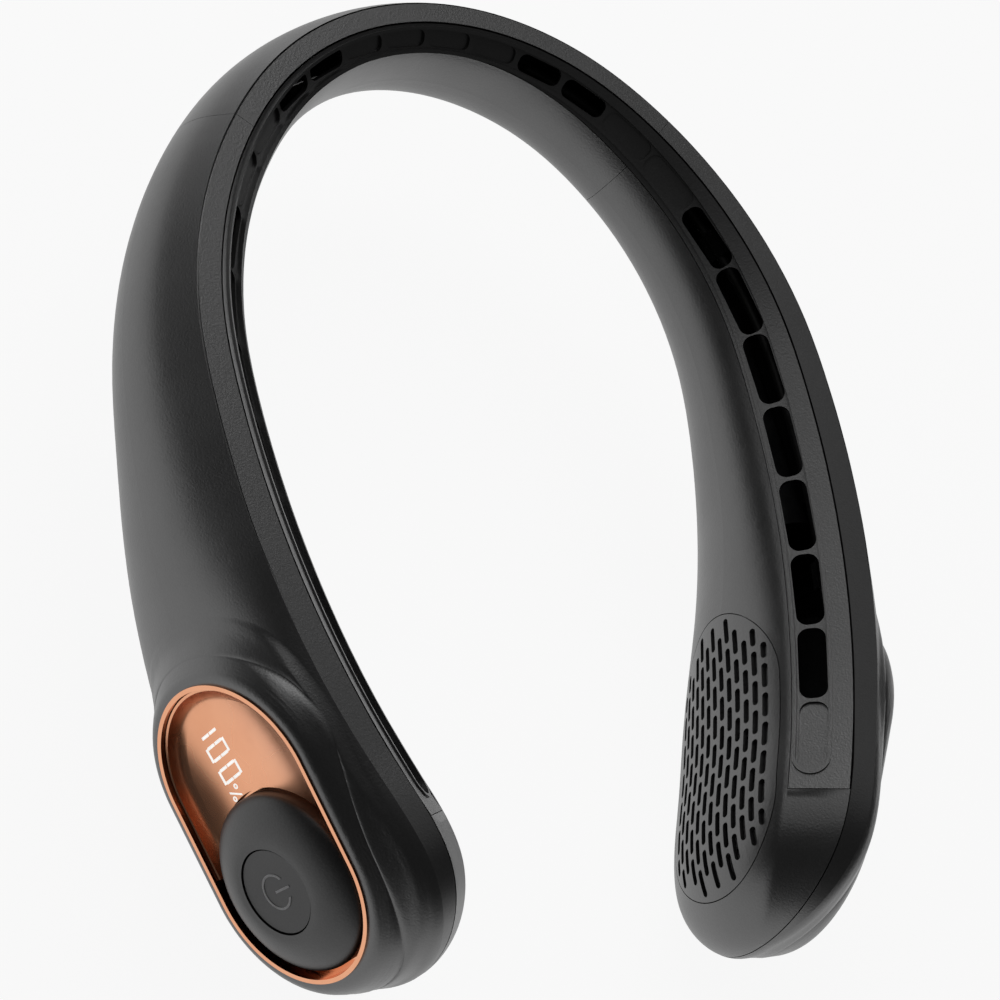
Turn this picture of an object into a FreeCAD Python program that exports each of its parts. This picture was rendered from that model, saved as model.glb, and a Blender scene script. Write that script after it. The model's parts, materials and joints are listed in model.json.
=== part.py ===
import FreeCAD, Part
import math
import os

V = FreeCAD.Vector
os.makedirs("parts", exist_ok=True)

# Seam line in plan, from the middle of the back to the pod: three tangent arcs, then straight
back_reach = 94.8
back_radius = 63.5
back_angle = 43.7
shoulder_radius = 86.0
shoulder_angle = 43.6
arm_radius = 214.2
arm_angle = 25.9

# Skin of the band, given at places along the seam line, from the back to the pod
rim_height = 57.0
places = [0.0, 58.0, 114.0, 150.0, 180.0, 206.0]
rim_widths = [4.6, 4.8, 6.0, 6.4, 6.2, 5.4]
outer_reaches = [7.4, 10.4, 13.6, 14.6, 12.8, 11.8]
outer_drops = [11.5, 14.5, 19.5, 25.0, 31.0, 31.5]
floor_shifts = [-2.0, -1.6, 1.8, 4.0, 3.0, 1.0]
depths = [24.0, 25.4, 34.6, 46.4, 56.4, 57.6]
inner_reaches = [6.2, 9.2, 13.0, 14.4, 15.2, 15.4]
inner_drops = [14.2, 15.8, 17.5, 21.0, 28.0, 30.0]
strip_reaches = [4.8, 7.4, 9.3, 9.6, 9.8, 9.8]
strip_drops = [4.1, 6.2, 7.6, 8.0, 8.4, 8.4]
lip_tuck = 2.0
outer_slopes = [60.0, 60.0, 60.0, 56.0, 36.0, 20.0]
outer_push_shares = [0.4, 0.4, 0.4, 0.38, 0.3, 0.25]
section_count = 16
lead_in = 36.0
tip_radius = 25.0
tip_place = 239.0
tip_angles = [24.0, 44.0, 59.0, 71.0, 80.0, 86.0]
tip_core_share = 0.53
round_share = 0.56
upper_share = 0.45

# Casing
wall = 2.0
fit = 0.15
seam_gap = 0.25
cross_place = 58.6
cross_gap = 0.08
over = 4.0
reach = 300.0
full_turn = 360.0
crease_half = 0.45
crease_deep = 1.3
crease_angle = 60.0
crease_foot_share = 0.35
crease_fade = 138.0
crease_end = 170.0
crease_end_share = 0.15

# Vent strip
strip_end = 214.5
strip_thick = 2.0
outer_margins = [1.4, 2.5, 4.2, 4.8, 5.1, 5.1]
channel_widths = [4.3, 5.2, 6.3, 6.6, 6.7, 6.7]
channel_deep = 0.9
channel_end = 210.2
bead_wide = 0.7
bead_high = 0.35
slot_gap = 1.3
slot_gap_back = 0.9
slot_corner_share = 0.8
back_pitch = 11.3
arm_pitch = 17.2
pitch_turn = 5.0
pitch_spread = 1.2
slot_total = 14
open_slots = [3, 4, 7, 8, 9, 10, 11, 12, 13]
blind_deep = 0.5
slot_side_gap = 0.35

# Pod trim: raised boss, bezel tray, display, dial and button
dial_place = 210.0
dial_drop = 32.1
trim_tilt = 11.0
boss_out = 14.0
boss_radius = 21.9
boss_spread = 5.0
boss_deep = 12.0
boss_angles = [90.0, 72.0, 54.0, 36.0, 18.0, 0.0]
right_sink = 1.4
trim_pitch = 22.2
tray_radius = 20.9
tray_wall = 0.6
tray_floor_out = 9.6
tray_floor_thick = 1.2
tray_lip_high = 0.4
tray_lip_wide = 0.35
plate_thick = 1.2
plate_high = 3.6
plate_edge = 0.5
plate_round = 3.0
plate_end = -5.0
well_gap = 0.6
digit_high = 6.9
digit_wide = 3.3
digit_step = 4.95
digit_stroke = 0.62
digit_joint = 0.17
digit_thick = 0.08
digit_start = -34.3
digit_rise = -5.3
digit_turn = 5.0
digit_lean_share = -0.13
percent_high = 3.3
percent_step = 4.1
percent_ring = 0.58
percent_stroke = 0.4
dial_radius = 19.0
dial_bottom_gap = 0.4
dial_side_high = 2.6
dial_top_out = 17.4
dial_rim_radius = 10.4
dial_crown = 2.6
dial_well_radius = 9.25
dial_shoulder_out = 13.6
post_radius = 6.0
post_bore = 4.6
post_fit = 0.05
clip_thick = 0.6
clip_radius = 7.4
clip_gap = 0.3
button_radius = 8.9
button_out = 17.1
button_thick = 2.0
button_stem = 4.2
button_stem_in = 8.1
icon_radius = 3.85
icon_stroke = 0.5
icon_gap_angle = 31.0
icon_bar = 4.6
icon_turn = 5.0
icon_thick = 0.12

# Intake grille on the inner face
grille_ahead = -9.5
grille_drop = 28.6
grille_radius = 18.4
grille_half = 31.5
grille_gap = 0.2
grille_thick = 1.0
grille_seat_gap = 0.05
grille_column = 2.5
grille_row = 6.7
grille_slot_long = 5.5
grille_slot_wide = 1.5
grille_edge = 0.8
grille_low = -26.0
inlet_ahead = 2.0
inlet_radius = 17.0

# Fan unit in each pod
fan_rise = 2.0
plate_out = 2.4
housing_plate = 1.2
housing_radius = 16.4
housing_wall = 1.2
housing_in = -7.0
outlet_high = 13.0
outlet_long = 21.0
cover_thick = 1.0
cover_inlet = 10.5
impeller_radius = 13.6
impeller_high = 7.0
impeller_floor = 1.0
impeller_gap = 0.7
blade_count = 19
blade_thick = 0.7
blade_inner = 9.2
blade_angle = 28.0
hub_radius = 7.4
hub_wall = 1.0
motor_radius = 5.6
motor_high = 5.0
motor_gap = 0.4
shaft_radius = 1.0
shaft_fit = 0.03
bearing_radius = 2.2
screw_radius = 0.8
screw_head = 1.5
screw_head_high = 0.6
screw_long = 4.0
screw_ring = 17.2
screw_angles = [-46.0, 50.0, 185.0]
ear_radius = 2.3

# Electronics
board_thick = 1.2
board_out = 4.9
board_radius = 15.0
board_length = 26.0
board_post = 1.8
board_post_ahead = [-15.5, 10.0]
switch_side = 6.0
switch_high = 1.4
led_centre = 29.5
led_long = 17.0
led_wide = 8.0
led_high = 1.8
cell_radius = 7.0
cell_long = 50.0
cell_place = 122.0
cell_drop = 21.0
cell_cap_radius = 2.6
cell_cap_high = 1.0
cradle_long = 36.0
cradle_fit = 0.1
cable_radius = 1.1
cable_out = 2.2
cable_drop = 10.5
cable_end = 188.0
clip_places = [26.0, 84.0, 160.0]
clip_long = 6.0
clip_high = 5.0
port_wide = 9.0
port_high = 3.3
port_deep = 7.4
port_wall = 0.4
port_ahead = -14.0
port_out = 4.6
port_tongue = 0.7
port_recess = 0.4


def save(name, shape):
    shape.exportStep("parts/" + name + ".step")


def rad(angle):
    return math.radians(angle)


def table(values, place):
    # smooth reading of a table of values at a place along the seam line
    x = min(max(abs(place), places[0]), places[-1])
    i = max(k for k in range(len(places) - 1) if places[k] <= x)
    spans = range(len(places) - 1)
    slopes = [(values[k + 1] - values[k]) / (places[k + 1] - places[k]) for k in spans]
    tangents = [0.0] + [(a + b) / 2 for a, b in zip(slopes, slopes[1:])] + [0.0]
    step = places[i + 1] - places[i]
    t = (x - places[i]) / step
    rise = values[i] * (1 - t) ** 2 * (1 + 2 * t) + values[i + 1] * t ** 2 * (3 - 2 * t)
    return rise + step * t * (1 - t) * ((1 - t) * tangents[i] - t * tangents[i + 1])


def spine(place):
    # point of the seam line in plan, its outward direction and its direction ahead;
    # the left arm has positive places
    x, y, heading, left = 0.0, back_reach, 0.0, abs(place)
    arcs = ((back_radius, back_angle), (shoulder_radius, shoulder_angle), (arm_radius, arm_angle))
    for radius, angle in arcs:
        turn = min(left / radius, rad(angle))
        x += radius * (math.sin(heading + turn) - math.sin(heading))
        y += radius * (math.cos(heading + turn) - math.cos(heading))
        heading += turn
        left -= turn * radius
    x += left * math.cos(heading)
    y -= left * math.sin(heading)
    side = -1 if place >= 0 else 1
    outward = V(side * math.sin(heading), math.cos(heading), 0)
    ahead = V(side * math.cos(heading), -math.sin(heading), 0)
    return V(side * x, y, 0), outward, ahead


def at(place, out, drop):
    # world point at a place along the seam line, outward of it and below the rim
    base, outward, ahead = spine(place)
    return base + outward * out + V(0, 0, rim_height - drop)


def chamfer(place):
    # the strip's slope: its run inward, its fall and its length
    run, fall = table(strip_reaches, place), table(strip_drops, place)
    return run, fall, math.hypot(run, fall)


def outline(place, inset):
    # poles of the six curves of a section as (out, drop)
    run, fall, slope = chamfer(place)
    rim, out, out_drop = table(rim_widths, place), table(outer_reaches, place), table(outer_drops, place)
    foot, depth = table(floor_shifts, place), table(depths, place)
    inner, in_drop = table(inner_reaches, place), table(inner_drops, place)
    a = (inset * (slope - run) / fall, inset)
    b = (rim - inset * upper_share, inset)
    d = (out - inset, out_drop)
    e = (foot, depth - inset)
    f = (inset - inner, in_drop)
    g = (inset - run, fall + inset * (slope - fall) / run)
    push = table(outer_push_shares, place) * out_drop
    lean = rad(table(outer_slopes, place))
    b1 = (b[0] + push * math.cos(lean), b[1] + push * math.sin(lean))
    d0 = (d[0], d[1] - (d[1] - b[1]) * upper_share)
    d1 = (d[0], d[1] + (e[1] - d[1]) * round_share)
    e0 = (e[0] + (d[0] - e[0]) * round_share, e[1])
    e1 = (e[0] + (f[0] - e[0]) * round_share, e[1])
    f0 = (f[0], f[1] + (e[1] - f[1]) * round_share)
    f1 = (f[0], f[1] - (f[1] - g[1]) * upper_share)
    g0 = (g[0] + (f[0] - g[0]) / 2, g[1] + lip_tuck)
    return [[a, b], [b, b1, d0, d], [d, d1, e0, e], [e, e1, f0, f], [f, f1, g0, g], [g, a]]


def section(place, share, inset, shape_place):
    # closed wire of a section, drawn in by a share of its size about the pod's core
    core = tip_core_share * table(depths, shape_place)
    edges = []
    for poles in outline(shape_place, inset):
        points = [at(place, p[0] * share, core + (p[1] - core) * share) for p in poles]
        curve = Part.BezierCurve()
        curve.setPoles(points)
        edges.append(curve.toShape())
    return Part.Wire(edges)


def body(inset):
    # left half of the band and its pod, running a little past the middle
    round_start = tip_place - tip_radius
    steps = [-lead_in, -lead_in / 2]
    steps += [round_start * i / section_count for i in range(section_count + 1)]
    wires = [section(s, 1, inset, s) for s in steps]
    for angle in tip_angles:
        ahead = round_start + (tip_radius - inset) * math.sin(rad(angle))
        wires.append(section(ahead, math.cos(rad(angle)), inset, round_start))
    return Part.makeLoft(wires, True, False)


def ribbon(corners, start, end):
    # solid swept along the seam line; corners(place) gives the section as (out, drop)
    count = int((end - start) * section_count / tip_place)
    wires = []
    for i in range(count + 1):
        s = start + (end - start) * i / count
        points = [at(s, p[0], p[1]) for p in corners(s)]
        wires.append(Part.makePolygon(points + points[:1]))
    return Part.makeLoft(wires, True, False)


def on_slope(place, along, deep):
    # (out, drop) at a distance down the strip's slope from the seam, and deep below it
    run, fall, slope = chamfer(place)
    return (-run * along + fall * deep) / slope, (fall * along + run * deep) / slope


def seam_region(grow):
    # everything on the neck side of the seam line, for the left half
    edges, heading, start = [], 0.0, V(0, back_reach + grow, 0)
    begin = start
    arcs = ((back_radius, back_angle), (shoulder_radius, shoulder_angle), (arm_radius, arm_angle))
    for radius, angle in arcs:
        points = []
        for share in (1, 2):
            turn = rad(angle) * share / 2
            big = radius + grow
            points.append(start + V(big * (math.sin(heading) - math.sin(heading + turn)),
                                    big * (math.cos(heading + turn) - math.cos(heading)), 0))
        edges.append(Part.Arc(start, points[0], points[1]).toShape())
        start = points[1]
        heading += rad(angle)
    end = start + V(-math.cos(heading), -math.sin(heading), 0) * tip_place
    corner = V(reach, end.y, 0)
    top = V(reach, begin.y, 0)
    edges += [Part.makeLine(start, end), Part.makeLine(end, corner)]
    edges += [Part.makeLine(corner, top), Part.makeLine(top, begin)]
    face = Part.Face(Part.Wire(edges))
    face.translate(V(0, 0, -over))
    return face.extrude(V(0, 0, rim_height + over + over))


def slab(place, shift):
    # block covering everything ahead of a cross plane at a place along the left arm
    base, outward, ahead = spine(place)
    block = Part.makeBox(reach, reach, reach, V(0, -reach / 2, -reach / 2))
    turn = FreeCAD.Rotation(V(1, 0, 0), ahead)
    block.Placement = FreeCAD.Placement(base + ahead * shift, turn)
    return block


def frame_at(place, drop, tilt, sink):
    # placement on the left pod: first axis ahead along the arm, second up, third outward
    base, outward, ahead = spine(place)
    up = V(0, 0, 1)
    first = ahead * math.cos(rad(tilt)) - up * math.sin(rad(tilt))
    second = ahead * math.sin(rad(tilt)) + up * math.cos(rad(tilt))
    origin = base - outward * sink + V(0, 0, rim_height - drop)
    m = FreeCAD.Matrix(first.x, second.x, outward.x, origin.x, first.y, second.y, outward.y, origin.y,
                       first.z, second.z, outward.z, origin.z, 0, 0, 0, 1)
    return FreeCAD.Placement(m)


TRIM = frame_at(dial_place, dial_drop, trim_tilt, 0)
SUNK = frame_at(dial_place, dial_drop, trim_tilt, right_sink)
LEVEL = frame_at(dial_place, dial_drop, 0, 0)


def placed(shape, frame):
    result = shape.copy()
    result.Placement = frame.multiply(result.Placement)
    return result


def mirrored(shape):
    return shape.mirror(V(0, 0, 0), V(1, 0, 0))


def stadium_face(radius, back, front, high):
    # flat stadium along the first axis between two arc centres
    a, b = V(back, radius, high), V(front, radius, high)
    c, d = V(front, -radius, high), V(back, -radius, high)
    edges = []
    if front > back:
        edges.append(Part.makeLine(a, b))
    edges.append(Part.Arc(b, V(front + radius, 0, high), c).toShape())
    if front > back:
        edges.append(Part.makeLine(c, d))
    edges.append(Part.Arc(d, V(back - radius, 0, high), a).toShape())
    return Part.Face(Part.Wire(edges))


def stadium(radius, back, front, low, high):
    return stadium_face(radius, back, front, low).extrude(V(0, 0, high - low))


def disc(radius, low, high):
    return Part.makeCylinder(radius, high - low, V(0, 0, low), V(0, 0, 1))


def pin(radius, spot, low, high):
    # upright cylinder on a spot
    shape = disc(radius, low, high)
    shape.translate(spot)
    return shape


def boss():
    # low dome with a flat oval top
    wires = []
    for angle in boss_angles:
        radius = boss_radius + boss_spread * math.sin(rad(angle))
        level = boss_out - boss_deep * (1 - math.cos(rad(angle)))
        wires.append(stadium_face(radius, -trim_pitch, 0, level).OuterWire)
    return Part.makeLoft(wires, True, False)


def skin(frame):
    # outer solid of the left half with its boss and the flat it rests on
    whole = body(0).fuse(placed(boss(), frame))
    below = Part.makeBox(reach * 2, reach * 2, over, V(-reach, -reach, -over))
    beyond = Part.makeBox(reach, reach * 2, reach, V(0, -reach, -reach / 2))
    return whole.cut(below).cut(beyond)


def outer_casing(frame, hollow):
    # outer shell of the left half, open where the trim goes in
    recess = placed(stadium(tray_radius + fit, -trim_pitch, 0, 0, boss_out + over), frame)
    return skin(frame).cut(hollow).cut(recess).cut(seam_region(seam_gap)).cut(crease())


def crease():
    # narrow valley between the flat rim and the bulging outer side
    lean = rad(crease_angle)

    def corners(s):
        fade = min(1.0, max(0.0, (abs(s) - crease_fade) / (crease_end - crease_fade)))
        left = 1 - fade * (1 - crease_end_share)
        rim, half, deep = table(rim_widths, s), crease_half * left, crease_deep * left
        mouth = (rim + over * math.cos(lean), -over * math.sin(lean))
        foot = (rim - deep * math.cos(lean), deep * math.sin(lean))
        side = (half * math.sin(lean), half * math.cos(lean))
        thin = (side[0] * crease_foot_share, side[1] * crease_foot_share)
        return [(mouth[0] - side[0], mouth[1] - side[1]), (mouth[0] + side[0], mouth[1] + side[1]),
                (foot[0] + thin[0], foot[1] + thin[1]), (foot[0] - thin[0], foot[1] - thin[1])]
    return ribbon(corners, -lead_in, crease_end)


def strip_pocket():
    def corners(s):
        slope = chamfer(s)[2]
        return [on_slope(s, slope, -over), on_slope(s, slope, strip_thick + over),
                on_slope(s, -over, strip_thick + over), on_slope(s, -over, -over)]
    return ribbon(corners, -lead_in, strip_end)


def slope_frame(place, along):
    # placement on the strip: first axis back along it, second up the slope, third out of the face
    run, fall, slope = chamfer(place)
    base, outward, ahead = spine(place)
    second = outward * (run / slope) + V(0, 0, fall / slope)
    out, drop = on_slope(place, along, 0)
    o = at(place, out, drop)
    first = -ahead
    third = first.cross(second)
    m = FreeCAD.Matrix(first.x, second.x, third.x, o.x, first.y, second.y, third.y, o.y,
                       first.z, second.z, third.z, o.z, 0, 0, 0, 1)
    return FreeCAD.Placement(m)


def web_places():
    # places of the webs between the slots, closer together at the back
    spots = [0.0]
    for i in range(slot_total):
        blend = 1 / (1 + math.exp((pitch_turn - i) / pitch_spread))
        spots.append(spots[-1] + back_pitch + (arm_pitch - back_pitch) * blend)
    scale = channel_end / spots[-1]
    return [s * scale for s in spots]


def channel_mid(place):
    return table(outer_margins, place) + table(channel_widths, place) / 2


def band_cut(grow, low, high):
    # ribbon over the channel, widened by grow, between two heights above the slope
    def corners(s):
        near = table(outer_margins, s) - grow
        far = near + table(channel_widths, s) + grow + grow
        return [on_slope(s, near, -low), on_slope(s, near, -high),
                on_slope(s, far, -high), on_slope(s, far, -low)]
    half = table(channel_widths, channel_end) / 2
    end = channel_end - half
    cap = disc(half + grow, low, high)
    return ribbon(corners, -lead_in, end).fuse(placed(cap, slope_frame(end, channel_mid(end))))


def vent_slots(numbers, low):
    webs = web_places()
    cutters = []
    for n in numbers:
        a, b = webs[n - 1], webs[n]
        mid = (a + b) / 2
        share = min(1.0, mid / places[2])
        gap = slot_gap_back + (slot_gap - slot_gap_back) * share
        radius = table(channel_widths, mid) / 2 - slot_side_gap
        turn = back_radius - channel_mid(mid)
        squeeze = turn / back_radius if mid < rad(back_angle) * back_radius else 1.0
        long = (b - a) * squeeze - gap
        cutter = Part.makeBox(long, radius + radius, over - low, V(-long / 2, -radius, low))
        upright = [e for e in cutter.Edges if abs(e.tangentAt(e.FirstParameter).z) > 1 / 2]
        cutter = cutter.makeFillet(radius * slot_corner_share, upright)
        cutters.append(placed(cutter, slope_frame(mid, channel_mid(mid))))
    return Part.makeCompound(cutters)


def vent_strip():
    def corners(s):
        run, fall, slope = chamfer(s)
        side = strip_thick * slope / run
        return [(-fit, fit * fall / run), on_slope(s, slope - fit, 0),
                on_slope(s, slope - fit, strip_thick), (-fit, side)]
    beyond = Part.makeBox(reach, reach * 2, reach, V(0, -reach, -reach / 2))
    strip = ribbon(corners, -lead_in, strip_end - fit)
    strip = strip.fuse(band_cut(bead_wide, -fit, bead_high)).cut(band_cut(0, -channel_deep, over)).cut(beyond)
    blind = [n for n in range(1, slot_total + 1) if n not in open_slots]
    strip = strip.cut(vent_slots(open_slots, -strip_thick - over))
    strip = strip.cut(vent_slots(blind, -channel_deep - blind_deep))
    return strip.fuse(mirrored(strip)).removeSplitter()


def grille_prism(grow, low, high):
    straight = grille_half - grille_radius
    shape = stadium(grille_radius + grow, -straight, straight, low, high)
    shape.translate(V(grille_ahead, dial_drop - grille_drop, 0))
    return placed(shape, LEVEL)


def slot_columns():
    # slots of each column of the staggered pattern as (middle, half length), in the grille's own plane
    limit = grille_radius - grille_edge
    count = int((limit - grille_slot_wide / 2) / grille_column)
    rows = int(grille_half / grille_row) + 1
    columns = {}
    for c in range(-count, count + 1):
        side = abs(c) * grille_column + grille_slot_wide / 2
        end = grille_half - grille_radius + math.sqrt(limit ** 2 - side ** 2)
        offset = grille_row / 2 if c % 2 else 0
        columns[c] = []
        for r in range(-rows, rows + 1):
            low = max(-end, r * grille_row + offset - grille_slot_long / 2)
            high = min(end, r * grille_row + offset + grille_slot_long / 2)
            if high - low > grille_slot_wide * 2:
                columns[c].append(((low + high) / 2, (high - low - grille_slot_wide) / 2))
    return count, columns


def notched_side(spots, y, way):
    # one long side of a strip of the grille with half a slot cut in at each spot
    r = grille_slot_wide / 2
    turn = r * math.sqrt(1 / 2)
    edges, start = [], V(-grille_half * 2, y, 0)
    for x, half in spots:
        a, b = V(x - half - r, y, 0), V(x - half, y + way * r, 0)
        c, d = V(x + half, y + way * r, 0), V(x + half + r, y, 0)
        edges += [Part.makeLine(start, a), Part.Arc(a, V(x - half - turn, y + way * turn, 0), b).toShape(),
                  Part.makeLine(b, c), Part.Arc(c, V(x + half + turn, y + way * turn, 0), d).toShape()]
        start = d
    edges.append(Part.makeLine(start, V(grille_half * 2, y, 0)))
    return edges


def grille():
    # thin perforated panel, made strip by strip between the middles of its slot columns
    layer = grille_prism(-grille_gap, grille_low, 0).common(body(0)).cut(body(grille_thick - grille_seat_gap))
    count, columns = slot_columns()
    strips = []
    for c in range(-count, count + 2):
        low = (c - 1) * grille_column if c > -count else -grille_radius * 2
        high = c * grille_column if c <= count else grille_radius * 2
        edges = notched_side(columns.get(c - 1, []), low, 1)
        edges += [Part.makeLine(V(grille_half * 2, low, 0), V(grille_half * 2, high, 0))]
        edges += notched_side(columns.get(c, []), high, -1)
        edges += [Part.makeLine(V(-grille_half * 2, high, 0), V(-grille_half * 2, low, 0))]
        face = Part.Face(Part.Wire(Part.__sortEdges__(edges)))
        prism = face.extrude(V(0, 0, -grille_low))
        prism.translate(V(grille_ahead, dial_drop - grille_drop, grille_low))
        strips.append(layer.common(placed(prism, LEVEL)))
    return strips[0].fuse(strips[1:])


def grille_seat():
    # recess that the panel lies in, with the round inlet behind it
    recess = grille_prism(0, grille_low, 0).cut(body(grille_thick))
    inlet = disc(inlet_radius, grille_low, 0)
    inlet.translate(V(inlet_ahead, fan_rise, 0))
    return recess.fuse(placed(inlet, LEVEL))


def tray():
    # plated tray with its raised lip and the post that the dial turns on
    floor_low = tray_floor_out - tray_floor_thick
    outer = stadium(tray_radius, -trim_pitch, 0, floor_low, boss_out + tray_lip_high)
    lip = stadium(tray_radius + tray_lip_wide, -trim_pitch, 0, boss_out, boss_out + tray_lip_high)
    hollow = stadium(tray_radius - tray_wall, -trim_pitch, 0, tray_floor_out, boss_out + over)
    post = disc(post_radius, tray_floor_out - fit, dial_shoulder_out + clip_gap)
    return outer.fuse(lip).cut(hollow).fuse(post).cut(disc(post_bore, 0, boss_out + over))


def display_plate():
    # bowl that lines the tray behind the dial, round at the foot of its wall
    inner = tray_radius - tray_wall - fit
    top = tray_floor_out + plate_high
    plate = stadium(inner, -trim_pitch, 0, tray_floor_out, top)
    floor = tray_floor_out + plate_thick
    room = stadium(inner - plate_edge, -trim_pitch, 0, floor, top + over)
    foot = [e for e in room.Edges if all(abs(v.Point.z - floor) < fit for v in e.Vertexes)]
    plate = plate.cut(room.makeFillet(plate_round, foot))
    plate = plate.cut(disc(dial_radius + well_gap, 0, boss_out))
    ahead = Part.makeBox(reach, reach, reach, V(plate_end, -reach / 2, -reach / 2))
    return max(plate.cut(ahead).Solids, key=lambda s: s.Volume)


def leaning(points, low, high):
    # prism over corner points, leaned over as the figures are
    corners = [V(x + y * digit_lean_share, y, low) for x, y in points]
    return Part.Face(Part.makePolygon(corners + corners[:1])).extrude(V(0, 0, high - low))


def figure(bars, x, low, high):
    # one figure made of straight bars: top, bottom and the four sides
    w, h, s, j = digit_wide / 2, digit_high / 2, digit_stroke, digit_joint
    box = {
        "top": (-w + j, w - j, h - s, h), "bottom": (-w + j, w - j, -h, -h + s),
        "ur": (w - s, w, j, h - s - j), "lr": (w - s, w, -h + s + j, -j),
        "ul": (-w, -w + s, j, h - s - j), "ll": (-w, -w + s, -h + s + j, -j),
    }
    solids = []
    for bar in bars:
        x1, x2, y1, y2 = box[bar]
        solids.append(leaning([(x + x1, y1), (x + x2, y1), (x + x2, y2), (x + x1, y2)], low, high))
    return solids


def percent(x, low, high):
    # two rings and a stroke between them, standing on the foot of the figures
    half = percent_high / 2
    middle = half - digit_high / 2
    solids = []
    for way in (-1, 1):
        ring = disc(percent_ring, low, high).cut(disc(percent_ring / 2, low, high))
        ring.translate(V(x + way * (half + percent_ring) / 2, middle - way * (half - percent_ring), 0))
        solids.append(ring)
    t, foot, head = percent_stroke / 2, middle - half, middle + half
    lean = half / 2
    stroke = [(x - lean - t, foot), (x - lean + t, foot), (x + lean + t, head), (x + lean - t, head)]
    solids.append(leaning(stroke, low, high))
    return solids


def digits():
    # figures that lie on the floor of the plate
    low = tray_floor_out + plate_thick
    high = low + digit_thick
    zero = ["top", "bottom", "ur", "lr", "ul", "ll"]
    solids = figure(["ur", "lr"], 0, low, high) + figure(zero, digit_step, low, high)
    solids += figure(zero, digit_step * 2, low, high) + percent(digit_step * 2 + percent_step, low, high)
    for solid in solids:
        solid.rotate(V(0, 0, 0), V(0, 0, 1), digit_turn)
        solid.translate(V(digit_start, digit_rise, 0))
    return Part.makeCompound(solids)


def turned(low, side, bore, inner):
    # solid of the dial's domed profile; inner gives the corners from the crest back to the bore
    crest = V(dial_rim_radius, 0, dial_top_out)
    dome = Part.BezierCurve()
    dome.setPoles([V(dial_radius, 0, side), V(dial_radius, 0, dial_top_out - dial_crown),
                   V(dial_rim_radius + dial_side_high, 0, dial_top_out), crest])
    foot = [V(bore, 0, low), V(dial_radius, 0, low), V(dial_radius, 0, side)]
    chain = [crest] + inner + foot[:1]
    edges = [Part.makeLine(a, b) for a, b in zip(foot, foot[1:])] + [dome.toShape()]
    edges += [Part.makeLine(a, b) for a, b in zip(chain, chain[1:])]
    return Part.Face(Part.Wire(edges)).revolve(V(0, 0, 0), V(0, 0, 1), full_turn)


def dial():
    low = tray_floor_out + dial_bottom_gap
    bore = post_radius + post_fit
    inner = [V(dial_well_radius, 0, dial_top_out), V(dial_well_radius, 0, dial_shoulder_out),
             V(bore, 0, dial_shoulder_out)]
    return turned(low, low + dial_side_high, bore, inner)


def dial_clip():
    low = dial_shoulder_out + clip_gap
    return disc(clip_radius, low, low + clip_thick).cut(disc(post_bore, 0, boss_out + over))


def button():
    cap = disc(button_radius, button_out - button_thick, button_out)
    return cap.fuse(disc(button_stem, button_stem_in, button_out - button_thick))


def icon():
    ring = disc(icon_radius, button_out, button_out + icon_thick)
    ring = ring.cut(disc(icon_radius - icon_stroke, 0, button_out + over))
    half = icon_radius * math.sin(rad(icon_gap_angle))
    wide = half + half
    gap = Part.makeBox(wide, icon_radius + over, over, V(-half, 0, button_out - over / 2))
    foot = icon_radius + icon_stroke - icon_bar
    bar = Part.makeBox(icon_stroke, icon_bar, icon_thick, V(-icon_stroke / 2, foot, button_out))
    shape = Part.makeCompound([ring.cut(gap), bar])
    shape.rotate(V(0, 0, 0), V(0, 0, 1), icon_turn)
    return shape


def cap_right():
    # plain domed cap that matches the dial on the other pod
    bore = post_radius + fit
    roof = dial_shoulder_out + clip_gap + fit
    inner = [V(0, 0, dial_top_out), V(0, 0, roof), V(bore, 0, roof)]
    return turned(tray_floor_out, tray_floor_out + dial_bottom_gap + dial_side_high, bore, inner)


def raised(shape):
    # moves a fan piece onto the fan's axis
    result = shape.copy()
    result.translate(V(0, fan_rise, 0))
    return result


def fan_outline(radius, shrink, low, high):
    # round scroll with a straight outlet toward the band
    duct = Part.makeBox(outlet_long, outlet_high - shrink - shrink, high - low,
                        V(-outlet_long, radius - outlet_high + shrink + shrink, low))
    return disc(radius, low, high).fuse(duct)


def screw_spots():
    return [V(screw_ring * math.cos(rad(a)), screw_ring * math.sin(rad(a)), 0) for a in screw_angles]


def scroll_wall():
    # wall round the impeller, open toward the band, with the ears for the cover's screws
    scroll = fan_outline(housing_radius, 0, housing_in, plate_out)
    inner = fan_outline(housing_radius - housing_wall, housing_wall / 2, housing_in, plate_out)
    mouth = Part.makeBox(over, outlet_high - housing_wall - housing_wall, plate_out - housing_in,
                         V(-outlet_long - over / 2, housing_radius - outlet_high + housing_wall, housing_in))
    shape = scroll.cut(inner.fuse(mouth))
    room = disc(housing_radius - fit, housing_in, plate_out)
    for spot in screw_spots():
        shape = shape.fuse(pin(ear_radius, spot, housing_in, plate_out).cut(room))
        shape = shape.cut(pin(screw_radius + fit, spot, housing_in, housing_in + screw_long))
    return shape


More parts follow.
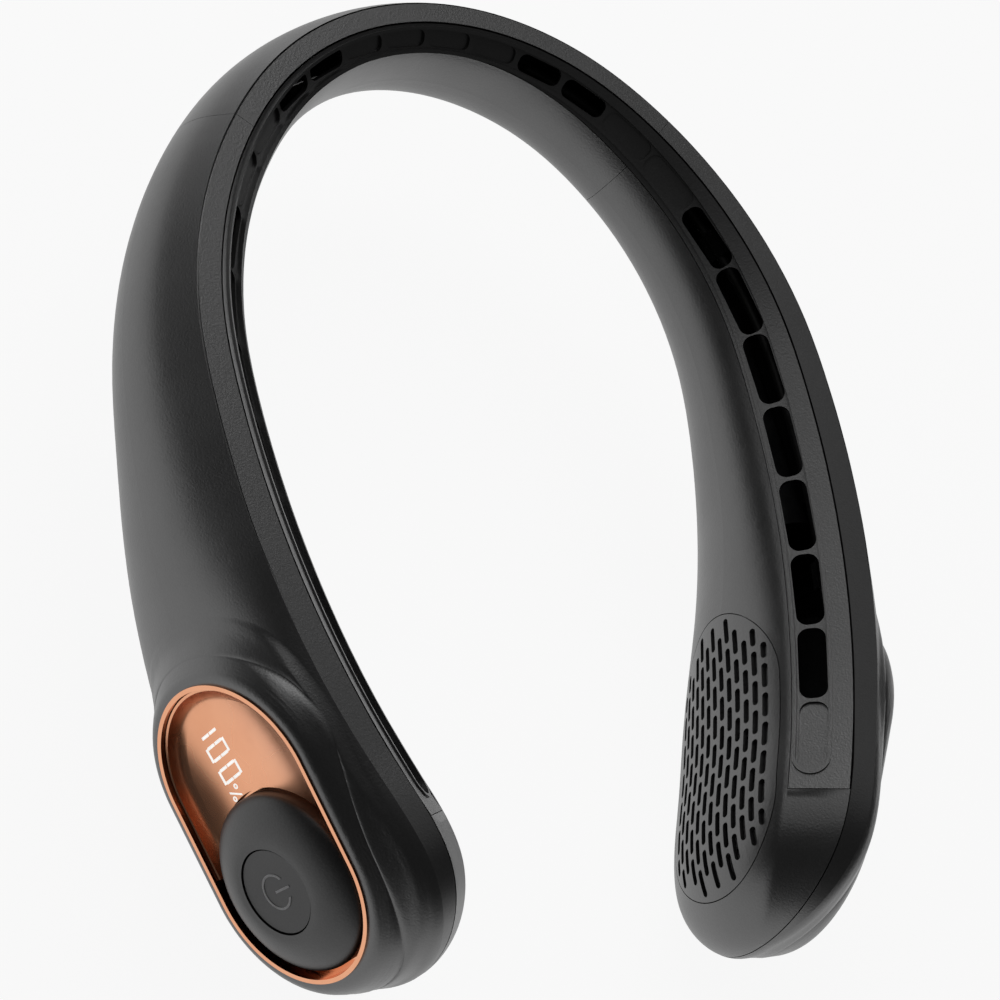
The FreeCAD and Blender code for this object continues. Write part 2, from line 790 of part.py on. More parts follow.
def housing(cavity):
    # plate across the pod with the scroll wall, the bearing seat and the board posts
    long = reach / 2
    plate = Part.makeBox(long, long, housing_plate, V(-long / 2, -long / 2, plate_out))
    keep = stadium(dial_radius + over, -trim_pitch - over, over, plate_out - over, plate_out + over)
    plate = placed(plate.common(keep), LEVEL).common(cavity)
    seat = disc(bearing_radius + hub_wall, plate_out - motor_high, plate_out)
    bore = disc(bearing_radius, plate_out - motor_high - over, plate_out + over)
    shape = plate.fuse(placed(raised(scroll_wall().fuse(seat)), LEVEL)).cut(placed(raised(bore), LEVEL))
    for ahead in board_post_ahead:
        spot = V(ahead, 0, 0)
        shape = shape.fuse(placed(pin(board_post, spot, plate_out + housing_plate - fit, board_out), LEVEL))
        hole = pin(screw_radius + fit, spot, board_out - screw_long, board_out + over)
        shape = shape.cut(placed(hole, LEVEL))
    return shape.cut(placed(port_block(over / 2, -over, port_deep + over), LEVEL))


def fan_cover():
    low, high = housing_in - cover_thick, housing_in
    shape = disc(housing_radius, low, high)
    for spot in screw_spots():
        shape = shape.fuse(pin(ear_radius, spot, low, high))
    for spot in screw_spots():
        shape = shape.cut(pin(screw_radius + fit, spot, low, high))
    return shape.cut(disc(cover_inlet, low, high))


def screws(spots, head_low, way):
    # screws with their heads at a level, the shanks on the other side
    solids = []
    for spot in spots:
        head = pin(screw_head, spot, min(head_low, head_low + way * screw_head_high),
                   max(head_low, head_low + way * screw_head_high))
        tip = head_low - way * screw_long
        solids.append(head.fuse(pin(screw_radius, spot, min(head_low, tip), max(head_low, tip))))
    return Part.makeCompound(solids)


def fan_screws():
    return screws(screw_spots(), housing_in - cover_thick, -1)


def impeller():
    low = housing_in + impeller_gap
    high = low + impeller_high
    floor = disc(impeller_radius, high - impeller_floor, high)
    hub = disc(hub_radius, low + impeller_gap, high)
    ring = disc(impeller_radius, low, low + impeller_floor).cut(disc(impeller_radius - hub_wall, low, high))
    shape = floor.fuse(hub)
    blades = []
    for i in range(blade_count):
        blade = Part.makeBox(impeller_radius - blade_inner, blade_thick, impeller_high - impeller_floor,
                             V(0, -blade_thick / 2, low))
        blade.rotate(V(0, 0, 0), V(0, 0, 1), blade_angle)
        blade.translate(V(blade_inner, 0, 0))
        blade.rotate(V(0, 0, 0), V(0, 0, 1), full_turn * i / blade_count)
        blades.append(blade)
    shape = shape.fuse(blades).fuse(ring)
    shape = shape.common(disc(impeller_radius, low - over, high + over))
    room = disc(motor_radius + motor_gap, low + impeller_gap + hub_wall, high + over)
    return shape.cut(room).cut(disc(shaft_radius, low, high + over))


def motor():
    high = plate_out
    shape = disc(motor_radius, high - motor_high, high - motor_gap)
    return shape.cut(disc(bearing_radius + hub_wall, high - motor_high - over, high + over))


def shaft():
    low = housing_in + impeller_gap + impeller_gap
    return disc(shaft_radius, low, plate_out)


def bearing():
    shape = disc(bearing_radius, plate_out - motor_high, plate_out + housing_plate)
    return shape.cut(disc(shaft_radius + shaft_fit, plate_out - motor_high, plate_out))


def board():
    shape = stadium(board_radius, -board_length, 0, board_out, board_out + board_thick)
    for ahead in board_post_ahead:
        shape = shape.cut(pin(screw_radius + fit, V(ahead, 0, 0), board_out, board_out + board_thick))
    return shape


def board_screws():
    return screws([V(ahead, 0, 0) for ahead in board_post_ahead], board_out + board_thick, 1)


def switch():
    low = board_out + board_thick
    return Part.makeBox(switch_side, switch_side, switch_high, V(-switch_side / 2, -switch_side / 2, low))


def led_block():
    low = board_out + board_thick
    return Part.makeBox(led_long, led_wide, led_high, V(-led_centre - led_long / 2, -led_wide / 2, low))


def cell_axis():
    a, b = spine(cell_place - cell_long / 2)[0], spine(cell_place + cell_long / 2)[0]
    drop = V(0, 0, rim_height - cell_drop)
    return (a + b) / 2 + drop, (b - a).normalize()


def cell():
    mid, axis = cell_axis()
    start = mid - axis * (cell_long / 2)
    can = Part.makeCylinder(cell_radius, cell_long, start, axis)
    return can.fuse(Part.makeCylinder(cell_cap_radius, cell_cap_high, mid + axis * (cell_long / 2), axis))


def cradle(cavity):
    # block that carries the cell on the floor of the arm
    mid, axis = cell_axis()
    block = Part.makeBox(cradle_long, reach / 2, rim_height, V(-cradle_long / 2, -reach / 4, -rim_height))
    block.Placement = FreeCAD.Placement(mid, FreeCAD.Rotation(V(1, 0, 0), axis))
    room = Part.makeCylinder(cell_radius + cradle_fit, cell_long * 2, mid - axis * cell_long, axis)
    return block.common(cavity).cut(room)


def cable_path(side):
    edges, heading, start = [], 0.0, V(0, back_reach + cable_out, rim_height - cable_drop)
    left = cable_end
    arcs = ((back_radius, back_angle), (shoulder_radius, shoulder_angle), (arm_radius, arm_angle))
    for radius, angle in arcs:
        turn = min(rad(angle), left / radius)
        big = radius + cable_out
        points = []
        for share in (1, 2):
            t = turn * share / 2
            points.append(start + V(side * big * (math.sin(heading) - math.sin(heading + t)),
                                    big * (math.cos(heading + t) - math.cos(heading)), 0))
        edges.append(Part.Arc(start, points[0], points[1]).toShape())
        start = points[1]
        heading += turn
        left -= turn * radius
    return edges


def cable():
    left, right = cable_path(1), cable_path(-1)
    path = Part.Wire([e for e in reversed(right)] + left)
    first = right[-1]
    start = first.valueAt(first.LastParameter)
    ring = Part.Wire(Part.makeCircle(cable_radius, start, first.tangentAt(first.LastParameter)))
    return path.makePipeShell([ring], True, True)


def cable_clips(cavity):
    # blocks on the outer wall that the cable runs through
    solids = []
    for place in clip_places:
        base, outward, ahead = spine(place)
        corner = V(-clip_high / 2, -clip_long / 2, -cable_radius)
        block = Part.makeBox(clip_high, clip_long, reach / 2, corner)
        turn = FreeCAD.Rotation(V(0, 0, 1), ahead, outward, "ZYX")
        block.Placement = FreeCAD.Placement(at(place, cable_out, cable_drop), turn)
        solids.append(block.common(cavity).cut(cable_room(place)))
    return solids


def cable_room(place):
    # straight bore along the cable at one clip
    base, outward, ahead = spine(place)
    mid = at(place, cable_out, cable_drop)
    return Part.makeCylinder(cable_radius + cradle_fit, clip_long * 2, mid - ahead * clip_long, ahead)


def port_block(grow, low, high):
    # rounded block of the charging socket, standing up from the rest plane
    wide, thick = port_wide + grow + grow, port_high + grow + grow
    block = Part.makeBox(wide, high - low, thick, V(port_ahead - wide / 2, low, port_out - thick / 2))
    long_edges = [e for e in block.Edges if abs(e.tangentAt(e.FirstParameter).y) > 1 - fit]
    block = block.makeFillet(thick / 2 - fit, long_edges)
    block.translate(V(0, dial_drop - rim_height, 0))
    return block


def port():
    low, high = port_recess, port_recess + port_deep
    can = port_block(0, low, high).cut(port_block(-port_wall, low - over, high - port_wall))
    tongue = Part.makeBox(port_wide / 2, port_deep - port_wall, port_tongue,
                          V(port_ahead - port_wide / 4, low + port_wall, port_out - port_tongue / 2))
    tongue.translate(V(0, dial_drop - rim_height, 0))
    return can.fuse(tongue)


def casings(hollow):
    # shells of the band, split at the seam line and at the cross seams
    inner = skin(TRIM).cut(hollow).common(seam_region(0)).cut(strip_pocket()).cut(grille_seat())
    left, right = outer_casing(TRIM, hollow), outer_casing(SUNK, hollow)
    ahead_cut, back_cut = slab(cross_place, cross_gap / 2), slab(cross_place, -cross_gap / 2)
    socket_room = placed(port_block(fit, -over, port_deep), LEVEL)
    for name, part in (("outer", left), ("inner", inner)):
        back = part.cut(back_cut)
        save("back_" + name, back.fuse(mirrored(back)).removeSplitter())
    save("arm_outer_left", left.common(ahead_cut).cut(socket_room))
    save("arm_outer_right", mirrored(right.common(ahead_cut)))
    arm = inner.common(ahead_cut)
    save("arm_inner_left", arm)
    save("arm_inner_right", mirrored(arm))


def build():
    inside = body(wall + fit)
    casings(body(wall))
    save("vent_strip", vent_strip())
    for name, shape in {"bezel": tray(), "display_plate": display_plate()}.items():
        save(name + "_left", placed(shape, TRIM))
        save(name + "_right", mirrored(placed(shape, SUNK)))
    fan = {"fan_cover": fan_cover(), "fan_screws": fan_screws(), "impeller": impeller(), "motor": motor(),
           "fan_shaft": shaft(), "fan_bearing": bearing()}
    sides = {"grille": grille(), "fan_housing": housing(inside), "cell": cell()}
    sides["cell_cradle"] = cradle(inside)
    for name, shape in fan.items():
        sides[name] = placed(raised(shape), LEVEL)
    sides["board"] = placed(board(), LEVEL)
    sides["board_screws"] = placed(board_screws(), LEVEL)
    for name, shape in sides.items():
        save(name + "_left", shape)
        save(name + "_right", mirrored(shape))
    singles = {"display_digits": digits(), "speed_dial": dial(), "dial_clip": dial_clip(),
               "power_button": button(), "power_icon": icon(), "button_switch": switch(),
               "display_leds": led_block()}
    for name, shape in singles.items():
        save(name, placed(shape, TRIM))
    save("pod_cap_right", mirrored(placed(cap_right(), SUNK)))
    save("charge_port", placed(port(), LEVEL))
    save("cable", cable())
    clips = cable_clips(inside)
    save("cable_clips", Part.makeCompound(clips + [mirrored(c) for c in clips]))


build()
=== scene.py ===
import bmesh
import bpy
import json
import math
import numpy as np
from mathutils import Matrix, Vector
from mathutils.bvhtree import BVHTree


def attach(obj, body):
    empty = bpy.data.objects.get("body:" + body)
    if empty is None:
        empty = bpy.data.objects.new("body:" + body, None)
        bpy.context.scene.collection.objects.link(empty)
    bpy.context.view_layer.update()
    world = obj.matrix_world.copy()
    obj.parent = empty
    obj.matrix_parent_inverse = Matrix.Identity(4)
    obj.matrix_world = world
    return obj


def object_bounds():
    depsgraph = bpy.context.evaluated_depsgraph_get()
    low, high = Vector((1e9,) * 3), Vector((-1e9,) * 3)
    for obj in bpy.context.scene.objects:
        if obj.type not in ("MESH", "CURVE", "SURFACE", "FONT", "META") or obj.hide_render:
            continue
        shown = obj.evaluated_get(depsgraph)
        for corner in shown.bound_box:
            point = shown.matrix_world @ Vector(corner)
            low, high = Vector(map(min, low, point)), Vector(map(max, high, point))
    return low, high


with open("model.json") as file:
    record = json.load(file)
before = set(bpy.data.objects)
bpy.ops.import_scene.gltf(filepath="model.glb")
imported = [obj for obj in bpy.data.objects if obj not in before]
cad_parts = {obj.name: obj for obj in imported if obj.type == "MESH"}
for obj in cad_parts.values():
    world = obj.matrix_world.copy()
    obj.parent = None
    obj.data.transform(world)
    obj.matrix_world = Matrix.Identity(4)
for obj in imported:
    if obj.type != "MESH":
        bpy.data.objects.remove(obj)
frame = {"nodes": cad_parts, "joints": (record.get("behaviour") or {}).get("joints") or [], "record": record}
nodes = frame["nodes"]
cad_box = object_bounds()

SIDES = (("left", 1.0), ("right", -1.0))

# Place of the trim on the pods

TRIM_TILT = math.radians(11.0)
TRIM_PITCH = 0.0222


def trim_frame(side):
    # place and directions of the trim on a pod: along the arm, up and outward
    joint = next(j for j in frame["joints"] if j["name"] == "speed_dial_turn")
    mirror = np.array((side, 1.0, 1.0))
    out = np.array(joint["axis"])
    ahead = np.array((-out[1], out[0], 0.0))
    up = np.array((0.0, 0.0, 1.0))
    first = ahead * math.cos(TRIM_TILT) - up * math.sin(TRIM_TILT)
    second = ahead * math.sin(TRIM_TILT) + up * math.cos(TRIM_TILT)
    return np.array(joint["pos_m"]) * mirror, first * mirror, second * mirror, out * mirror


# Shader nodes

NOISE_DETAIL, NOISE_ROUGH = 2.0, 0.5
COLOUR_SPAN = (0.35, 0.65)
GLOSS_SPAN = (0.3, 0.7)


def tree_of(name):
    material = bpy.data.materials.new(name)
    material.use_nodes = True
    tree = material.node_tree
    return material, tree, tree.nodes["Principled BSDF"]


def noise(tree, scale, detail=NOISE_DETAIL, rough=NOISE_ROUGH):
    coords = tree.nodes.new("ShaderNodeTexCoord")
    node = tree.nodes.new("ShaderNodeTexNoise")
    node.inputs["Scale"].default_value = scale
    node.inputs["Detail"].default_value = detail
    node.inputs["Roughness"].default_value = rough
    tree.links.new(coords.outputs["Object"], node.inputs["Vector"])
    return node.outputs["Fac"]


def ramp(tree, fac, low, high):
    node = tree.nodes.new("ShaderNodeValToRGB")
    for stop, place, colour in zip(node.color_ramp.elements, COLOUR_SPAN, (low, high)):
        stop.position = place
        stop.color = (*colour, 1)
    tree.links.new(fac, node.inputs["Fac"])
    return node.outputs["Color"]


def mapped(tree, value, span, low, high, kind="LINEAR"):
    node = tree.nodes.new("ShaderNodeMapRange")
    node.interpolation_type = kind
    node.inputs["From Min"].default_value = span[0]
    node.inputs["From Max"].default_value = span[1]
    node.inputs["To Min"].default_value = low
    node.inputs["To Max"].default_value = high
    tree.links.new(value, node.inputs["Value"])
    return node.outputs["Result"]


def uneven_gloss(tree, shader, fac, rough, swing):
    gloss = mapped(tree, fac, GLOSS_SPAN, rough - swing, rough + swing)
    tree.links.new(gloss, shader.inputs["Roughness"])


def bump(tree, shader, height, strength, distance):
    node = tree.nodes.new("ShaderNodeBump")
    node.inputs["Strength"].default_value = strength
    node.inputs["Distance"].default_value = distance
    tree.links.new(height, node.inputs["Height"])
    tree.links.new(node.outputs["Normal"], shader.inputs["Normal"])


# Moulded plastic

PLASTIC_IOR = 1.5
GRAIN_ROUGH = 0.6
GRAIN_DEPTH = 0.00005
SHEEN_SCALE, SHEEN_DETAIL, SHEEN_SWING = 55.0, 3.0, 0.03


def moulded(name, low, high, rough, grain, strength, ior=PLASTIC_IOR):
    # spark-eroded plastic: fine grain in colour and relief, slow change in gloss
    material, tree, shader = tree_of(name)
    fine = noise(tree, grain, rough=GRAIN_ROUGH)
    tree.links.new(ramp(tree, fine, low, high), shader.inputs["Base Color"])
    uneven_gloss(tree, shader, noise(tree, SHEEN_SCALE, SHEEN_DETAIL), rough, SHEEN_SWING)
    shader.inputs["IOR"].default_value = ior
    bump(tree, shader, fine, strength, GRAIN_DEPTH)
    return material


# Rose-gold plating

ROSE_LOW, ROSE_HIGH = (0.80, 0.38, 0.22), (0.84, 0.41, 0.24)
TRAY_ROUGH, PLATE_ROUGH = 0.13, 0.27
RIPPLE_SCALE, RIPPLE_DETAIL = 120.0, 3.0
RIPPLE_STRENGTH, RIPPLE_DEPTH = 0.05, 0.0001
POLISH_SCALE, POLISH_SWING = 60.0, 0.02
DISH_RADIUS = 0.030
DISH_ASIDE, DISH_OUT = 0.004, 0.0108


def plating(name, rough):
    # polished plating; its slow ripple of colour is given back for use in relief
    material, tree, shader = tree_of(name)
    ripple = noise(tree, RIPPLE_SCALE, RIPPLE_DETAIL)
    tree.links.new(ramp(tree, ripple, ROSE_LOW, ROSE_HIGH), shader.inputs["Base Color"])
    uneven_gloss(tree, shader, noise(tree, POLISH_SCALE), rough, POLISH_SWING)
    shader.inputs["Metallic"].default_value = 1.0
    return material, tree, shader, ripple


def plated(name):
    # plating of the trays, with a faint ripple in relief
    material, tree, shader, ripple = plating(name, TRAY_ROUGH)
    bump(tree, shader, ripple, RIPPLE_STRENGTH, RIPPLE_DEPTH)
    return material


def dished(name, side):
    # plating of a display plate, drawn into a shallow dish round the far end of the trim
    material, tree, shader, _ = plating(name, PLATE_ROUGH)
    origin, first, second, out = trim_frame(side)
    coords = tree.nodes.new("ShaderNodeTexCoord")
    offset = tree.nodes.new("ShaderNodeVectorMath")
    offset.operation = "SUBTRACT"
    offset.inputs[1].default_value = origin - first * TRIM_PITCH + second * DISH_ASIDE + out * DISH_OUT
    tree.links.new(coords.outputs["Object"], offset.inputs[0])
    square = tree.nodes.new("ShaderNodeVectorMath")
    square.operation = "DOT_PRODUCT"
    tree.links.new(offset.outputs["Vector"], square.inputs[0])
    tree.links.new(offset.outputs["Vector"], square.inputs[1])
    bump(tree, shader, square.outputs["Value"], 1.0, 0.5 / DISH_RADIUS)
    return material


# Bare metal

METAL_DETAIL, METAL_SWING = 4.0, 0.06


def metal(name, low, high, rough, scale):
    # machined metal, its colour and gloss uneven together
    material, tree, shader = tree_of(name)
    fine = noise(tree, scale, METAL_DETAIL)
    tree.links.new(ramp(tree, fine, low, high), shader.inputs["Base Color"])
    uneven_gloss(tree, shader, fine, rough, METAL_SWING)
    shader.inputs["Metallic"].default_value = 1.0
    return material


# Lit figures

DIGIT_COLOUR = (1.0, 1.0, 0.97)
DIGIT_SHADE_SHARE = 0.93
DIGIT_SCALE, DIGIT_STRENGTH, DIGIT_ROUGH = 500.0, 0.8, 0.35


def lit(name):
    # light that shines through the plate, a little uneven along each bar
    material, tree, shader = tree_of(name)
    shade = tuple(c * DIGIT_SHADE_SHARE for c in DIGIT_COLOUR)
    colours = ramp(tree, noise(tree, DIGIT_SCALE), shade, DIGIT_COLOUR)
    tree.links.new(colours, shader.inputs["Base Color"])
    tree.links.new(colours, shader.inputs["Emission Color"])
    shader.inputs["Emission Strength"].default_value = DIGIT_STRENGTH
    shader.inputs["Roughness"].default_value = DIGIT_ROUGH
    return material


# Finishes of the record's slots

# name, darker and lighter colour, roughness, scale of the grain, strength of its relief, any other IOR
PLASTICS = {
    "casing": ("casing_black", (0.001, 0.001, 0.0011), (0.0105, 0.0105, 0.011), 0.37, 2200.0, 0.9, 2.1),
    "dial": ("dial_black", (0.001, 0.001, 0.0011), (0.0120, 0.0120, 0.0125), 0.42, 2200.0, 0.7, 1.7),
    "button": ("button_grey", (0.030, 0.030, 0.031), (0.042, 0.042, 0.043), 0.45, 3000.0, 0.3, 1.6),
    "icon": ("icon_grey", (0.54, 0.54, 0.55), (0.62, 0.62, 0.63), 0.4, 2000.0, 0.05),
    "inner_plastic": ("inner_black", (0.014, 0.014, 0.015), (0.022, 0.022, 0.023), 0.42, 1500.0, 0.2),
    "board": ("board_green", (0.012, 0.075, 0.03), (0.02, 0.1, 0.042), 0.3, 600.0, 0.1),
    "cell": ("cell_wrap", (0.012, 0.012, 0.013), (0.02, 0.02, 0.021), 0.3, 300.0, 0.05),
    "cable": ("cable_rubber", (0.01, 0.01, 0.01), (0.02, 0.02, 0.02), 0.55, 1200.0, 0.3),
}
# name, darker and lighter colour, roughness, scale of the unevenness
METALS = {
    "steel": ("bright_steel", (0.52, 0.52, 0.53), (0.63, 0.63, 0.64), 0.3, 700.0),
    "motor": ("motor_alloy", (0.6, 0.6, 0.61), (0.7, 0.7, 0.71), 0.35, 500.0),
    "bronze": ("bearing_bronze", (0.5, 0.33, 0.16), (0.6, 0.42, 0.22), 0.4, 1500.0),
}

looks = {slot: moulded(*finish) for slot, finish in PLASTICS.items()}
looks.update({slot: metal(*finish) for slot, finish in METALS.items()})
looks["rose_plate"] = plated("rose_gold")
looks["digits"] = lit("digit_light")

slots = {row["node"]: row["material_slot"] for row in frame["record"]["subparts"]}
for name, piece in nodes.items():
    piece.data.materials.clear()
    piece.data.materials.append(looks[slots[name]])
for name, side in SIDES:
    nodes["display_plate_" + name].data.materials[0] = dished("rose_dish_" + name, side)

# Blend of each boss into its arm

# reach from the trim's middle line
BLEND_START, BLEND_CREST, BLEND_TOE, BLEND_END = 0.0224, 0.0252, 0.0300, 0.0335
BLEND_SOFT = 0.0022
BLEND_SUNK = 0.00001
EDGE_ROOM, EDGE_FADE = 0.0003, 0.0016
RAY_HIGH = 0.030
TURNED_AWAY = 0.004
# counts of ways round the trim, and of steps along each
EDGE_TURNS, TURN_SOFT = 5, 11.0
ARC_STEPS, SIDE_STEPS, REACH_STEPS = 120, 45, 88


def ways_round():
    # directions round the trim: the start of each on the middle line, and its angle
    arc = np.linspace(-math.pi / 2, math.pi / 2, ARC_STEPS, endpoint=False)
    slide = np.linspace(0.0, TRIM_PITCH, SIDE_STEPS, endpoint=False)
    ways = [(0.0, turn) for turn in arc] + [(-run, math.pi / 2) for run in slide]
    ways += [(-TRIM_PITCH, turn + math.pi) for turn in arc]
    return ways + [(run - TRIM_PITCH, -math.pi / 2) for run in slide]


def reaches_to(ends):
    # steps along each way round the trim, from the start of the blend to that way's end
    return BLEND_START + np.outer(ends - BLEND_START, np.linspace(0.0, 1.0, REACH_STEPS))


def bridged(heights, reaches):
    # profile pulled tight over its hollows
    ridge = []
    for point in zip(reaches, heights):
        while len(ridge) > 1:
            (r1, h1), (r2, h2) = ridge[-2:]
            if (h2 - h1) * (point[0] - r1) > (point[1] - h1) * (r2 - r1):
                break
            ridge.pop()
        ridge.append(point)
    return np.interp(reaches, [r for r, h in ridge], [h for r, h in ridge])


def soft_profile(heights, reaches):
    # profile bridged up to the toe, and smoothed by a bell-shaped mean between the crest and its end
    toe = reaches < BLEND_TOE
    bridge = heights.copy()
    bridge[toe] = bridged(heights[toe], reaches[toe])
    gap = (reaches[:, None] - reaches[None, :]) / BLEND_SOFT
    weight = np.exp(-gap * gap)
    soft = weight @ bridge / weight.sum(1)
    keep = np.clip((reaches - BLEND_CREST) / BLEND_SOFT, 0, 1)
    keep *= np.clip((reaches[-1] - reaches) / BLEND_SOFT, 0, 1)
    return bridge + keep * (soft - bridge)


def skin_profiles(name, side, ways, reaches):
    # how far out the arm's skin lies along each way round the trim, up to where it turns away
    skin = BVHTree.FromObject(nodes["arm_outer_" + name], bpy.context.evaluated_depsgraph_get())
    origin, first, second, out = trim_frame(side)
    feet = np.zeros((*reaches.shape, 3))
    heights = np.zeros(reaches.shape)
    found = np.zeros(reaches.shape, bool)
    for turn, (start, angle) in enumerate(ways):
        for step, reach in enumerate(reaches[turn]):
            foot = origin + first * (start + reach * math.cos(angle)) + second * (reach * math.sin(angle))
            place, _, _, depth = skin.ray_cast(Vector(foot + out * RAY_HIGH), Vector(-out))
            if place is None:
                break
            height = RAY_HIGH - depth
            if step > 0 and height < heights[turn, step - 1] - TURNED_AWAY:
                break
            feet[turn, step] = foot
            heights[turn, step] = height
            found[turn, step] = True
    return feet, heights, found


def blend_points(name, side):
    # grid of points over the filled crease, and which of them stand proud of the arm's skin
    ways = ways_round()
    count = np.arange(len(ways))
    gap = np.abs(count[:, None] - count[None, :])
    gap = np.minimum(gap, len(ways) - gap)
    near = np.exp(-(gap / TURN_SOFT) ** 2)
    near /= near.sum(1)[:, None]
    reaches = reaches_to(np.full(len(ways), BLEND_END))
    found = skin_profiles(name, side, ways, reaches)[2]
    last = reaches[0, np.maximum(found.sum(1), 1) - 1]
    ends = near @ np.where(gap <= EDGE_TURNS, last, BLEND_END).min(1) - EDGE_ROOM
    reaches = reaches_to(ends)
    feet, heights, found = skin_profiles(name, side, ways, reaches)
    fill = np.zeros_like(heights)
    for turn, hits in enumerate(found.sum(1)):
        if hits > 1:
            level = heights[turn, :hits]
            fill[turn, :hits] = soft_profile(level, reaches[turn, :hits]) - level
    fade = np.clip((ends[:, None] - reaches) / EDGE_FADE, 0, 1)
    fill = near @ fill * fade * fade * (3 - 2 * fade)
    found &= fill > BLEND_SUNK / 2
    out = trim_frame(side)[3]
    points = feet + (heights + fill - BLEND_SUNK)[:, :, None] * out
    return np.clip(points, cad_box[0], cad_box[1]), found


def blend_mesh(name, points, found, side):
    # faces between neighbours of the grid that are both in use, turned outward
    index = np.arange(found.size).reshape(found.shape)
    faces = []
    for turn in range(len(found)):
        beside = (turn + 1) % len(found)
        for step in range(REACH_STEPS - 1):
            corners = [(turn, step), (turn, step + 1), (beside, step + 1), (beside, step)]
            if all(found[corner] for corner in corners):
                faces.append([int(index[corner]) for corner in (corners if side > 0 else corners[::-1])])
    mesh = bpy.data.meshes.new(name)
    mesh.from_pydata(points.reshape(-1, 3).tolist(), [], faces)
    trimmed = bmesh.new()
    trimmed.from_mesh(mesh)
    loose = [v for v in trimmed.verts if not v.link_faces]
    bmesh.ops.delete(trimmed, geom=loose, context="VERTS")
    trimmed.to_mesh(mesh)
    trimmed.free()
    mesh.shade_smooth()
    return mesh


def boss_blend(name, side):
    # fillet that fills the crease between the boss and the arm
    points, found = blend_points(name, side)
    mesh = blend_mesh("boss_blend_" + name, points, found, side)
    mesh.materials.append(looks["casing"])
    piece = bpy.data.objects.new("boss_blend_" + name, mesh)
    bpy.context.scene.collection.objects.link(piece)
    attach(piece, "casing")


for name, side in SIDES:
    boss_blend(name, side)

# Floor

FLOOR_SIZE, FLOOR_DROP = 8.0, 0.0001
FLOOR_LOW, FLOOR_HIGH = (0.88, 0.88, 0.88), (0.9, 0.9, 0.9)
FLOOR_SCALE, FLOOR_ROUGH = 3.0, 0.9
FLOOR_GLOW = 0.92
# painted pool of light on the floor: full glow out to the first reach, down to the grey of its edge at the
# second
PAINTED_POOL_SPAN = (0.24, 0.50)
PAINTED_POOL_EDGE = 0.22


def mixed(tree, kind, first, second):
    node = tree.nodes.new("ShaderNodeMath")
    node.operation = kind
    for socket, value in zip(node.inputs, (first, second)):
        if isinstance(value, float):
            socket.default_value = value
        else:
            tree.links.new(value, socket)
    return node.outputs[0]


def painted_light_pool(tree):
    # painted pool of light: full white glow under and around the object, fading to grey farther out
    coords = tree.nodes.new("ShaderNodeTexCoord")
    far = tree.nodes.new("ShaderNodeVectorMath")
    far.operation = "LENGTH"
    tree.links.new(coords.outputs["Object"], far.inputs[0])
    return mapped(tree, far.outputs["Value"], PAINTED_POOL_SPAN, 1.0, PAINTED_POOL_EDGE, "SMOOTHSTEP")


def floor_white():
    # pale floor that looks white to the camera and in reflections through a painted pool of light, grey
    # farther out, and keeps a soft shadow
    material, tree, shader = tree_of("floor_white")
    colours = ramp(tree, noise(tree, FLOOR_SCALE), FLOOR_LOW, FLOOR_HIGH)
    tree.links.new(colours, shader.inputs["Base Color"])
    shader.inputs["Roughness"].default_value = FLOOR_ROUGH
    shader.inputs["Specular IOR Level"].default_value = 0.0
    glow = tree.nodes.new("ShaderNodeEmission")
    # the glow's strength is the painted pool of light, brightest round the object
    tree.links.new(painted_light_pool(tree), glow.inputs["Strength"])
    path = tree.nodes.new("ShaderNodeLightPath")
    seen = mixed(tree, "MAXIMUM", path.outputs["Is Camera Ray"], path.outputs["Is Glossy Ray"])
    seen = mixed(tree, "MAXIMUM", seen, path.outputs["Is Transmission Ray"])
    mix = tree.nodes.new("ShaderNodeMixShader")
    tree.links.new(mixed(tree, "MULTIPLY", seen, FLOOR_GLOW), mix.inputs["Fac"])
    tree.links.new(shader.outputs["BSDF"], mix.inputs[1])
    tree.links.new(glow.outputs["Emission"], mix.inputs[2])
    tree.links.new(mix.outputs["Shader"], tree.nodes["Material Output"].inputs["Surface"])
    return material


def stage_floor():
    bpy.ops.mesh.primitive_plane_add(size=FLOOR_SIZE, location=(0, 0, -FLOOR_DROP))
    floor = bpy.context.object
    floor.name = "floor"
    floor.data.materials.append(floor_white())


# Light

SKY = 0.06
LAMP_REACH = 0.9
LAMP_MIDDLE = Vector((0, 0, 0.03))
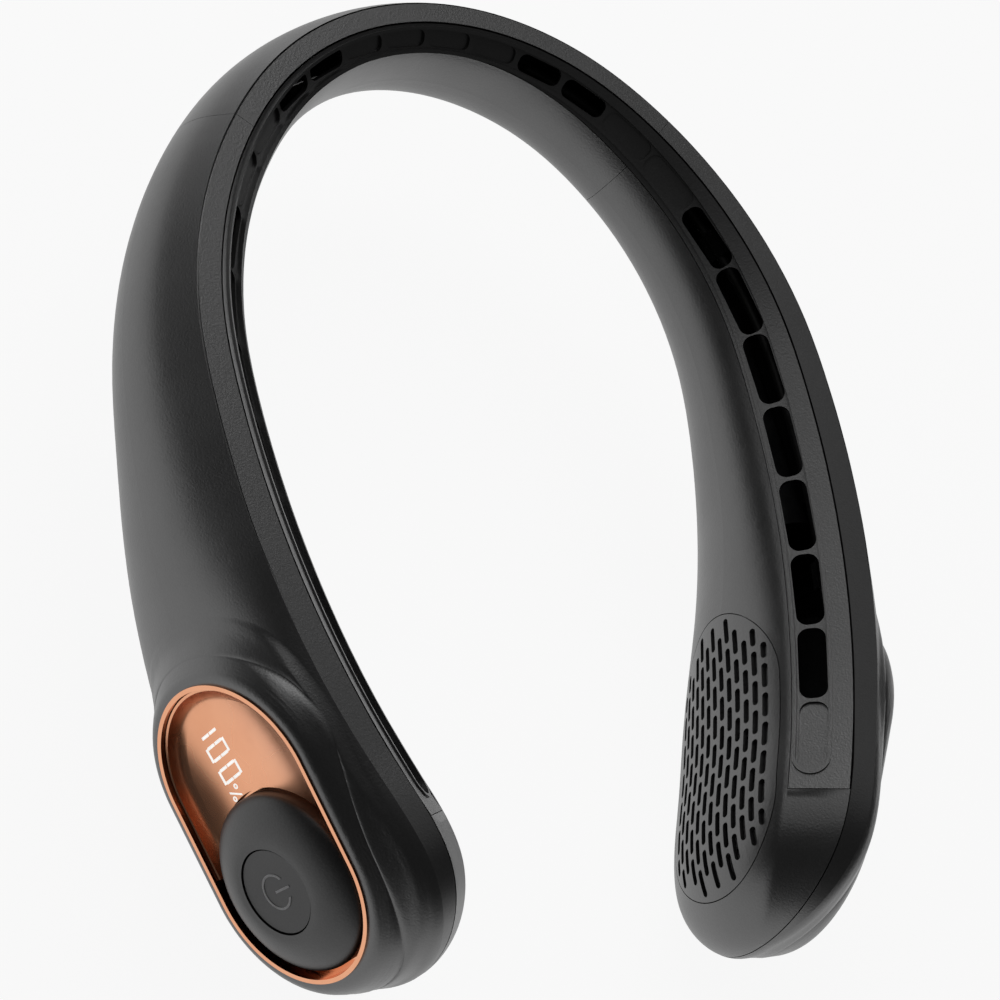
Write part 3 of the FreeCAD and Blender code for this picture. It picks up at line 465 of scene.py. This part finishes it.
# name, direction from the object, brightness of its face, sides
LAMPS = (
    ("top", (0.05, 0.75, 0.75), 2.0, (0.7, 0.7)),
    ("rim", (0.60, 0.32, 0.72), 0.17, (0.8, 0.8)),
    ("strip", (-0.57, 0.38, 0.72), 0.65, (0.4, 0.4)),
)


def studio_world():
    world = bpy.data.worlds.new("studio")
    bpy.context.scene.world = world
    world.use_nodes = True
    back = world.node_tree.nodes["Background"]
    back.inputs["Color"].default_value = (1, 1, 1, 1)
    back.inputs["Strength"].default_value = SKY


def softbox(name, aim, glow, size):
    # soft lamp on a ball round the object
    lamp = bpy.data.lights.new(name, "AREA")
    lamp.shape = "RECTANGLE"
    lamp.size, lamp.size_y = size
    lamp.energy = glow * math.pi * size[0] * size[1]
    holder = bpy.data.objects.new(name, lamp)
    holder.visible_camera = False
    bpy.context.scene.collection.objects.link(holder)
    away = Vector(aim).normalized()
    holder.location = LAMP_MIDDLE + away * LAMP_REACH
    holder.rotation_euler = away.to_track_quat("Z", "Y").to_euler()


# Camera

CAMERA_PLACE = (-0.71062, -0.39380, 0.96242)
CAMERA_RIGHT = Vector((0.8160, -0.2486, 0.5219))
CAMERA_UP = Vector((0.0219, 0.9155, 0.4018))
CAMERA_BACK = Vector((-0.5777, -0.3164, 0.7524))
CAMERA_LENS, CAMERA_SENSOR = 216.234, 36.0
CAMERA_CLIP = (0.05, 20.0)


def camera():
    data = bpy.data.cameras.new("photo")
    data.sensor_fit = "HORIZONTAL"
    data.sensor_width = CAMERA_SENSOR
    data.lens = CAMERA_LENS
    data.clip_start, data.clip_end = CAMERA_CLIP
    holder = bpy.data.objects.new("photo", data)
    bpy.context.scene.collection.objects.link(holder)
    turn = Matrix((CAMERA_RIGHT, CAMERA_UP, CAMERA_BACK)).transposed().to_4x4()
    holder.matrix_world = Matrix.Translation(CAMERA_PLACE) @ turn
    bpy.context.scene.camera = holder


stage_floor()
studio_world()
for lamp in LAMPS:
    softbox(*lamp)
camera()
bpy.context.scene.view_settings.view_transform = "Standard"
